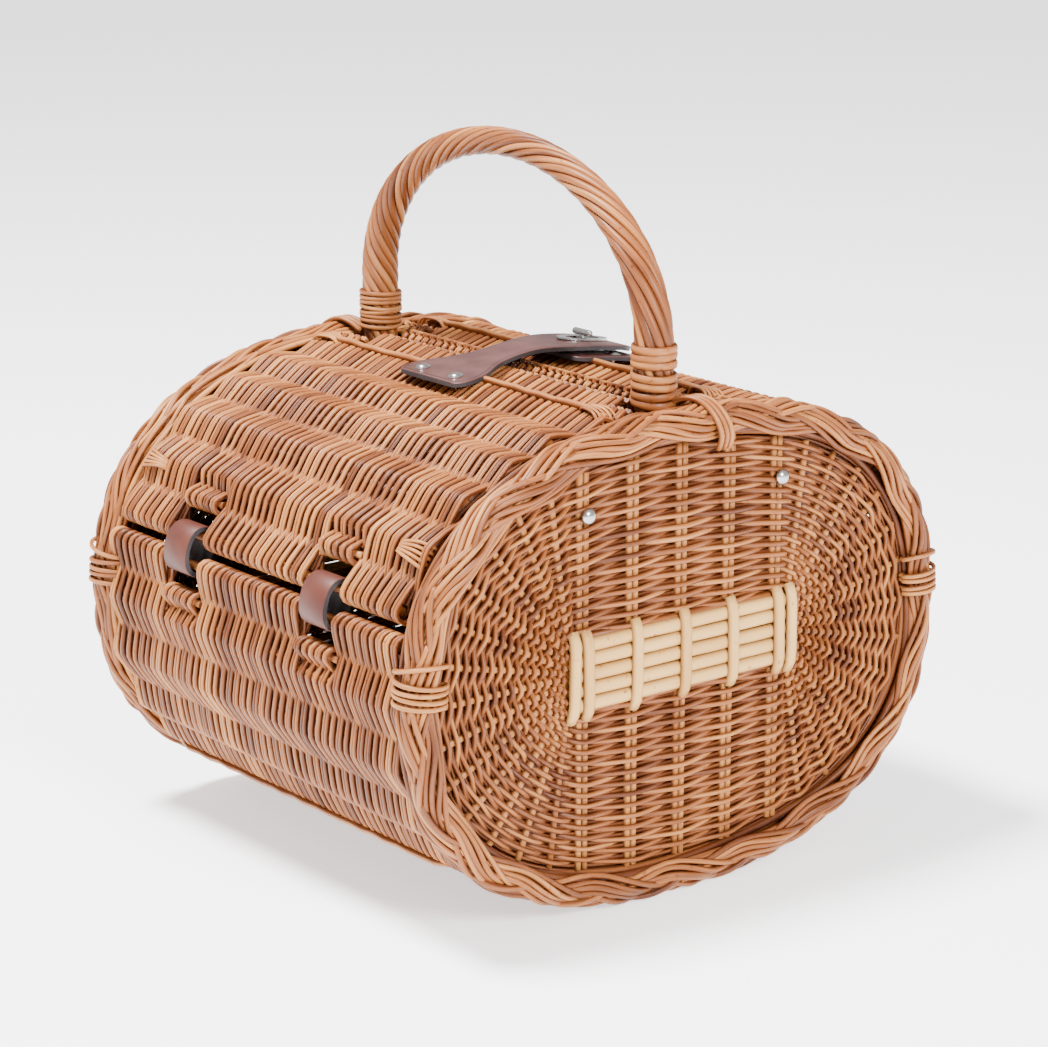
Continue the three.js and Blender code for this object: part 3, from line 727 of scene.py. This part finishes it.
border_tie_height = 0.152
border_tie_radius = 0.0139
for word, side in (("right", 1), ("left", -1)):
    for place, way in (("front", -1), ("back", 1)):
        dice = random.Random(71 + 2 * side + way)
        rods = []
        turn = turn_at_height(border_depth, border_tie_height)
        for strand, offset in enumerate((-0.0075, -0.0035, 0.0, 0.0040, 0.0115)):
            middle = oval(border_depth, turn)
            ahead = oval(border_depth, turn + 0.01) - middle
            ahead /= np.linalg.norm(ahead)
            out = np.array((-ahead[1], ahead[0]))
            points, normals = [], []
            for i in range(25):
                a = math.radians(172 - 262 * i / 24)
                tuck = border_tie_radius - 0.004 * (i < 2)
                slip = offset + 0.003 * (i / 24 - 0.5) * (strand % 2) + 0.0035 * math.sin(a) * (offset > 0.01)
                q = middle + out * tuck * math.cos(a) + ahead * slip
                points.append((side * (border_x + tuck * math.sin(a)), way * -q[0], q[1]))
                normals.append((side * math.sin(a), way * -out[0] * math.cos(a), out[1] * math.cos(a)))
            for i in range(1, 6):
                back = 0.005 * i
                q = middle + out * (0.003 - 0.0012 * i) + ahead * (offset + 0.0008 * i * (strand - 2))
                points.append((side * (border_x - 0.0140 - back), way * -q[0], q[1]))
                normals.append((0, way * -out[0], out[1]))
            rods.append((points, 0.0015, 0.0013, normals, tone_of(dice, 0.72, 0.08), False))
        willow_piece(f"{word}_{place}_border_wrap", rods, "basket", [f"{word}_{place}_border_tie"])


# ---- handle ---------------------------------------------------------------------------------------
# A bow over the barrel: eleven rods roped round a stout core at a long pitch, thick at the legs and
# tapering to the top; the legs go down inside the ends.

handle_low, handle_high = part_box("handle")
leg_x = 0.128
spring_z = 0.3085
top_radius = 0.0083
bow_rise = handle_high.z - top_radius - spring_z
bow_lean = 0.004
rope_rods = 11
dice = random.Random(83)
rough = [(-leg_x, 0.0, handle_low.z + (spring_z - handle_low.z) * i / 20) for i in range(20)]
for i in range(61):
    c, s = math.cos(math.pi * i / 60), math.sin(math.pi * i / 60)
    rough.append((-leg_x * c - bow_lean * s, 0.0, spring_z + bow_rise * s ** 0.97))
rough += [(leg_x, 0.0, spring_z - (spring_z - handle_low.z) * i / 20) for i in range(1, 21)]
rough = np.array(rough)
run = run_length(rough)
even = np.linspace(0, run[-1], 230)
bow = np.column_stack([np.interp(even, run, rough[:, k]) for k in range(3)])
bow_ahead = np.gradient(bow, axis=0)
bow_ahead /= np.linalg.norm(bow_ahead, axis=1)[:, None]
bow_out = -np.cross(bow_ahead, np.array((0, 1.0, 0)))
radius_heights = [0.20, 0.27, 0.31, 0.36, 0.405]
bow_radius = np.interp(bow[:, 2], radius_heights, [0.0095, 0.0102, 0.0112, 0.0102, top_radius])
rods = []
twist = 2 * math.pi / np.interp(bow[:, 0], [-0.12, 0.02, 0.12], [0.100, 0.125, 0.190])
twist = np.concatenate([[0], np.cumsum(twist[1:] * np.diff(even))])
for strand in range(rope_rods):
    spin = 2 * math.pi * strand / rope_rods - twist
    tube = bow_radius * dice.uniform(0.205, 0.245)
    centre = bow_radius - tube
    wobble = np.interp(even, np.linspace(0, even[-1], 24), [dice.uniform(-1, 1) for _ in range(24)])
    spin = spin + 0.06 * wobble
    direction = np.cos(spin)[:, None] * bow_out + np.sin(spin)[:, None] * np.array((0, 1.0, 0))
    points = bow + direction * centre[:, None]
    rods.append((points, tube * 1.08, tube * 1.0, direction, tone_of(dice, 0.52, 0.18), False))
# The core takes the darkest tone: painted shade in the grooves between the rope rods.
rods.append((bow, bow_radius * 0.62, bow_radius * 0.62, bow_out, 0.05, False))
willow_piece("handle_rope", rods, "basket", ["handle"], sides=8)


# ---- handle bindings and ties ---------------------------------------------------------------------
# Flat skein wound round the foot of each leg, then three rods that run from it over the border and
# down into the end panel.

binding_radius = 0.0121
for word, side, turns in (("right", 1, (0, 1, 2, 3.1, 4.6, 5.5, 6.4)),
                          ("left", -1, (0.6, 1.2, 1.8, 2.4, 3.0, 3.6, 4.2, 4.8))):
    dice = random.Random(89 if side > 0 else 97)
    rods = []
    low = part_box(word + "_handle_binding")[0].z - 0.002
    for level in turns:
        z = low + 0.0024 + level * 0.0047
        points, normals = [], []
        tilt = dice.uniform(-0.0009, 0.0009)
        for i in range(28):
            a = 2 * math.pi * i / 28
            c, s = math.cos(a), math.sin(a)
            height = z + tilt * math.cos(a + level)
            points.append((side * leg_x + binding_radius * c, binding_radius * s, height))
            normals.append((c, s, 0))
        wide = 0.0024 if side > 0 else 0.0014
        rods.append((points, wide, 0.0010, normals, tone_of(dice, 0.62, 0.08), True))
    willow_piece(word + "_handle_skein", rods, "basket", [word + "_handle_binding"], sides=8)
    rods = []
    for strand in range(3):
        shift = (strand - 1) * 0.0037
        knots = [(0.1350, 0.006, 0.2745), (0.1410, 0.0085, 0.2795), (0.1500, 0.012, 0.2825),
                 (0.1590, 0.0155, 0.2785), (0.1648, 0.019, 0.2700), (0.1660, 0.0215, 0.2610),
                 (0.1600, 0.0235, 0.2530)]
        points = [(side * x, side * (y + shift), z) for x, y, z in knots]
        smooth_points = [np.array(points[0])]
        for a, b in zip(points, points[1:]):
            for u in (0.34, 0.67, 1):
                smooth_points.append(np.array(a) * (1 - u) + np.array(b) * u)
        for _ in range(3):
            kept = [smooth_points[0]]
            for a, b, c in zip(smooth_points, smooth_points[1:], smooth_points[2:]):
                kept.append((a + 2 * b + c) / 4)
            smooth_points = kept + [smooth_points[-1]]
        normals = [(q[0] - side * 0.15, 0, q[2] - 0.262) for q in smooth_points]
        rods.append((smooth_points, 0.0018, 0.0015, normals, tone_of(dice, 0.66, 0.08), False))
    willow_piece(word + "_handle_stay", rods, "basket", [word + "_handle_tie"], sides=8)


# ---- leather hinge loops --------------------------------------------------------------------------
# Four bands of red-brown bridle leather, each closed in a tall loop round the rim rod and the lid's
# hinge rod, with dark painted edges.


def leather_paint(name, low, high, gloss):
    paint, tree, shader = new_paint(name)
    place = node(tree, "TexCoord").outputs["Object"]
    cloud = node(tree, "TexNoise", {"Vector": place, "Scale": 60, "Detail": 5}).outputs["Fac"]
    tree.links.new(ramp_colour(tree, cloud, (0.3, low), (0.75, high)), shader.inputs["Base Color"])
    pores = node(tree, "TexVoronoi", {"Vector": place, "Scale": 1400}).outputs["Distance"]
    bump = node(tree, "Bump", {"Height": pores, "Strength": 0.12, "Distance": 0.0002})
    tree.links.new(bump.outputs["Normal"], shader.inputs["Normal"])
    shader.inputs["Roughness"].default_value = gloss
    shader.inputs["Specular IOR Level"].default_value = 0.28
    return paint


def faces_outward():
    """Turn the active piece's faces outwards."""
    bpy.ops.object.mode_set(mode="EDIT")
    bpy.ops.mesh.select_all(action="SELECT")
    bpy.ops.mesh.normals_make_consistent(inside=False)
    bpy.ops.object.mode_set(mode="OBJECT")


loop_place = 0.068
loop_thick = 0.0028
loop_half_width = 0.0114
loop_flat = 0.0109
loop_half_height = 0.0122
loop_reach_out = 0.0088
loop_reach_in = 0.0068
loop_squareness = 0.86
bevel = 0.0003
loop_leather = leather_paint("loop_leather", (0.058, 0.014, 0.009), (0.100, 0.027, 0.017), 0.5)
leather_edge = leather_paint("leather_edge", (0.020, 0.018, 0.020), (0.050, 0.042, 0.044), 0.55)

for word, way in (("front", -1), ("back", 1)):
    for place, x in (("right", loop_place), ("left", -loop_place)):
        hinge = oval(skin_depth, hinge_turn)
        rim = oval(skin_depth, rim_turn)
        lean = math.atan2(hinge[1] - rim[1], hinge[0] - rim[0])
        middle = (hinge + rim) / 2
        up = np.array((math.cos(lean), math.sin(lean)))
        outward = np.array((-up[1], up[0])) * (1 if up[1] > 0 else -1)
        ring = [2 * math.pi * i / 40 for i in range(40)]
        corners = []
        for a in ring:
            tall = math.copysign(abs(math.sin(a)) ** loop_squareness, math.sin(a))
            broad = math.copysign(abs(math.cos(a)) ** loop_squareness, math.cos(a))
            reach = loop_reach_out if broad > 0 else loop_reach_in
            for grow, half in ((0, loop_half_width), (loop_thick - bevel, loop_half_width),
                               (loop_thick, loop_flat), (loop_thick, -loop_flat),
                               (loop_thick - bevel, -loop_half_width), (0, -loop_half_width)):
                q = middle + up * tall * (loop_half_height + grow) + outward * broad * (reach + grow)
                corners.append((x + half, -way * q[0], q[1]))
        faces = []
        count = len(ring)
        for i in range(count):
            low, high = 6 * i, 6 * ((i + 1) % count)
            for j in range(6):
                k = (j + 1) % 6
                quad = (low + j, low + k, high + k, high + j)
                faces.append(quad if way > 0 else quad[::-1])
        mesh = bpy.data.meshes.new(f"{word}_{place}_loop_band")
        mesh.from_pydata(corners, [], faces)
        mesh.materials.append(loop_leather)
        mesh.materials.append(leather_edge)
        for i, face in enumerate(mesh.polygons):
            face.material_index = 0 if i % 6 in (1, 2, 3) else 1
            face.use_smooth = i % 6 in (1, 2, 3, 5)
        band = placed(f"{word}_{place}_loop_band", mesh)
        faces_outward()
        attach(band, "basket")
        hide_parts(f"{word}_{place}_hinge_loop")


# ---- strap and pad --------------------------------------------------------------------------------
# Dark brown bridle leather with painted edges and a crease beside them. The strap is riveted to the
# front lid, narrows over the seam and widens over the turn-lock; the pad is riveted to the back lid.

strap_leather = leather_paint("strap_leather", (0.052, 0.018, 0.015), (0.094, 0.036, 0.032), 0.42)
tree = strap_leather.node_tree
edge_uv = node(tree, "UVMap", uv_map="edge").outputs["UV"]
from_edge = node(tree, "SeparateXYZ", {"Vector": edge_uv}).outputs["X"]
crease = node(tree, "Math", {0: from_edge, 1: 0.0026, 2: 0.00035}, operation="COMPARE").outputs["Value"]
plain = [n for n in tree.nodes if n.type == "VALTORGB"][0].outputs["Color"]
creased = node(tree, "Mix", {"Factor": crease, "A": plain, "B": (0.012, 0.008, 0.009, 1)}, data_type="RGBA")
tree.links.new(creased.outputs["Result"], tree.nodes["Principled BSDF"].inputs["Base Color"])

lid_depth = 0.003


def lid_spot(x, y, lift):
    """A point over the lids at a place across and along, a height above their outer face."""
    turn = turn_at_width(lid_depth, abs(y)) if y <= 0 else math.pi - turn_at_width(lid_depth, abs(y))
    p = oval(lid_depth, turn)
    q = oval(lid_depth, turn + 0.01) - oval(lid_depth, turn - 0.01)
    q /= np.linalg.norm(q)
    return np.array((x, p[0] - q[1] * lift, p[1] + q[0] * lift))


def leather_slab(name, rows, lift, thick):
    """A strip of leather from (y, half width) rows, following the lids at a lift, with rounded edges."""
    across = 16
    corners, uvs_at = [], []
    for y, half in rows:
        for level in (1, 0):
            for j in range(across + 1):
                u = 2 * j / across - 1
                u = math.copysign(1 - (1 - abs(u)) ** 1.6, u)
                edge = half * (1 - abs(u))
                drop = 0.0005 * math.exp(-edge / 0.0006) if level else 0
                corners.append(tuple(lid_spot(half * u, y, lift(y) + (thick - drop if level else 0.0))))
                ends = min(abs(y - rows[0][0]), abs(y - rows[-1][0]))
                uvs_at.append((min(edge, ends), y))
    width = across + 1
    faces, kinds = [], []
    for i in range(len(rows) - 1):
        top, under = i * 2 * width, i * 2 * width + width
        next_top, next_under = top + 2 * width, under + 2 * width
        for j in range(across):
            faces.append((top + j, top + j + 1, next_top + j + 1, next_top + j))
            faces.append((under + j + 1, under + j, next_under + j, next_under + j + 1))
            kinds += [0, 0]
        faces.append((under, top, next_top, next_under))
        faces.append((top + across, under + across, next_under + across, next_top + across))
        kinds += [1, 1]
    last = (len(rows) - 1) * 2 * width
    for j in range(across):
        faces.append((width + j, width + j + 1, j + 1, j))
        faces.append((last + j, last + j + 1, last + width + j + 1, last + width + j))
        kinds += [1, 1]
    mesh = bpy.data.meshes.new(name)
    mesh.from_pydata(corners, [], faces)
    layer = mesh.uv_layers.new(name="edge")
    for loop in mesh.loops:
        layer.data[loop.index].uv = uvs_at[loop.vertex_index]
    mesh.materials.append(strap_leather)
    mesh.materials.append(leather_edge)
    mesh.polygons.foreach_set("material_index", kinds)
    mesh.polygons.foreach_set("use_smooth", [k == 0 for k in kinds])
    piece = placed(name, mesh)
    faces_outward()
    return piece


def strap_half(y):
    """Half the strap's width along its length."""
    places = [-0.060, -0.0585, -0.055, -0.050, -0.042, -0.034, -0.026, -0.018, -0.010, 0.002,
              0.010, 0.020, 0.030, 0.038, 0.060, 0.068, 0.075, 0.080, 0.0828, 0.084]
    halves = [0.0245, 0.0275, 0.0292, 0.0300, 0.0285, 0.0245, 0.0195, 0.0160, 0.0145, 0.0143,
              0.0152, 0.0180, 0.0212, 0.0226, 0.0230, 0.0212, 0.0165, 0.0105, 0.0055, 0.0008]
    return float(np.interp(y, places, halves))


def strap_lift(y):
    """The strap rises from its rivets over the seam and the pad, and its end droops."""
    t = min(1, max(0, (y + 0.040) / 0.058))
    droop = min(1, max(0, (y - 0.066) / 0.018))
    return 0.0016 + 0.0055 * t * t * (3 - 2 * t) - 0.0020 * droop * droop


strap_front = -0.060
strap_length = 0.144
strap_places = [strap_front + strap_length * i / 96 for i in range(97)]
strap_widths = [strap_half(y) for y in strap_places]
for _ in range(2):
    inner = [(a + 2 * b + c) / 4 for a, b, c in zip(strap_widths, strap_widths[1:], strap_widths[2:])]
    strap_widths = [strap_widths[0]] + inner + [strap_widths[-1]]
strap = leather_slab("strap", list(zip(strap_places, strap_widths)), strap_lift, 0.0028)
bend_start, bend_end = tuple(lid_spot(0, -0.044, 0.003)), tuple(lid_spot(0, -0.032, 0.003))
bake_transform(strap)
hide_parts("strap_tab", "strap_flap")

pad_front, pad_back = 0.029, 0.083
pad_half_width = 0.028
pad_corner = 0.008
pad_rows = []
for i in range(55):
    y = pad_front + 0.054 * i / 54
    corner = max(0, pad_corner - min(y - pad_front, pad_back - y))
    pad_rows.append((y, pad_half_width - pad_corner + math.sqrt(max(0, pad_corner ** 2 - corner ** 2))))
pad = leather_slab("lock_pad_leather", pad_rows, lambda y: 0.0017, 0.0025)
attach(pad, "back_lid")
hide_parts("lock_pad")


# ---- nickel fittings ------------------------------------------------------------------------------
# Nickel-plated brass: domed rivets through the leather, domed studs and washers in the ends, and the
# turn-lock with its oval eyelet plate, base plate, post and turning bar with ball ends.

nickel, tree, shader = new_paint("nickel")
metal_place = node(tree, "TexCoord").outputs["Object"]
smudge = node(tree, "TexNoise", {"Vector": metal_place, "Scale": 220, "Detail": 4}).outputs["Fac"]
polish = node(tree, "MapRange", {"Value": smudge, "To Min": 0.14, "To Max": 0.34}).outputs["Result"]
tree.links.new(polish, shader.inputs["Roughness"])
metal = ramp_colour(tree, smudge, (0, (0.34, 0.33, 0.32)), (1, (0.55, 0.54, 0.53)))
tree.links.new(metal, shader.inputs["Base Color"])
shader.inputs["Metallic"].default_value = 1


def turned_fitting(name, profile, base, up, body, stands_for):
    """A round fitting from (radius, height) points, set on a base point with its axis along up."""
    up = Vector(up).normalized()
    turn = Vector((0, 0, 1)).rotation_difference(up)
    corners, faces = [], []
    sides = 28
    for radius, height in profile:
        for j in range(sides):
            a = 2 * math.pi * j / sides
            local = Vector((radius * math.cos(a), radius * math.sin(a), height))
            corners.append(tuple(Vector(base) + turn @ local))
    for i in range(len(profile) - 1):
        for j in range(sides):
            k = (j + 1) % sides
            faces.append((i * sides + j, i * sides + k, (i + 1) * sides + k, (i + 1) * sides + j))
    faces.append(tuple(range(sides - 1, -1, -1)))
    faces.append(tuple(range((len(profile) - 1) * sides, len(profile) * sides)))
    mesh = bpy.data.meshes.new(name)
    mesh.from_pydata(corners, [], faces)
    mesh.materials.append(nickel)
    piece = placed(name, mesh)
    bpy.ops.object.shade_smooth_by_angle(angle=math.radians(40))
    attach(piece, body)
    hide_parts(stands_for)


rivet_dome = [(0.0014, -0.012), (0.0014, 0), (0.0044, 0), (0.0045, 0.0003), (0.0042, 0.0007),
              (0.0036, 0.0008), (0.0034, 0.0007), (0.0031, 0.0012), (0.0022, 0.0017), (0.0010, 0.0020),
              (0.0002, 0.0020)]
for name, x, y, seat, body in (("strap_right_rivet", 0.0155, -0.051, 0.0044, "front_lid"),
                               ("strap_left_rivet", -0.0155, -0.051, 0.0044, "front_lid"),
                               ("pad_right_rivet", 0.020, 0.060, 0.0042, "back_lid"),
                               ("pad_left_rivet", -0.020, 0.060, 0.0042, "back_lid")):
    low, high = lid_spot(x, y, seat), lid_spot(x, y, seat + 0.01)
    turned_fitting(name + "_head", rivet_dome, low, high - low, body, name)

stud_seat = 0.1572
stud_dome = [(0.0015, -0.012), (0.0015, 0), (0.0046, 0), (0.0047, 0.0006), (0.0044, 0.0014),
             (0.0036, 0.0023), (0.0024, 0.0030), (0.0010, 0.0033), (0.0002, 0.0034)]
washer_ring = [(0.0005, 0), (0.005, 0), (0.005, 0.001), (0.0005, 0.001)]
for word, side in (("right", 1), ("left", -1)):
    for place in ("front", "back"):
        stud, washer = f"{word}_{place}_stud", f"{word}_{place}_washer"
        low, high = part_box(stud)
        middle = (low + high) / 2
        base = (side * stud_seat, middle.y, middle.z)
        turned_fitting(stud + "_head", stud_dome, base, (side, 0, 0), "basket", stud)
        low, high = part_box(washer)
        base = (min(low.x, high.x), middle.y, middle.z)
        turned_fitting(washer + "_ring", washer_ring, base, (1, 0, 0), "basket", washer)

for name in ("eyelet_plate", "turn_lock_base", "turn_button"):
    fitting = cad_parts[name]
    for slot in fitting.material_slots:
        slot.material = nickel
    alone(fitting)
    bpy.ops.object.shade_smooth_by_angle(angle=math.radians(35))


# ---- sizes ----------------------------------------------------------------------------------------

low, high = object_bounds()
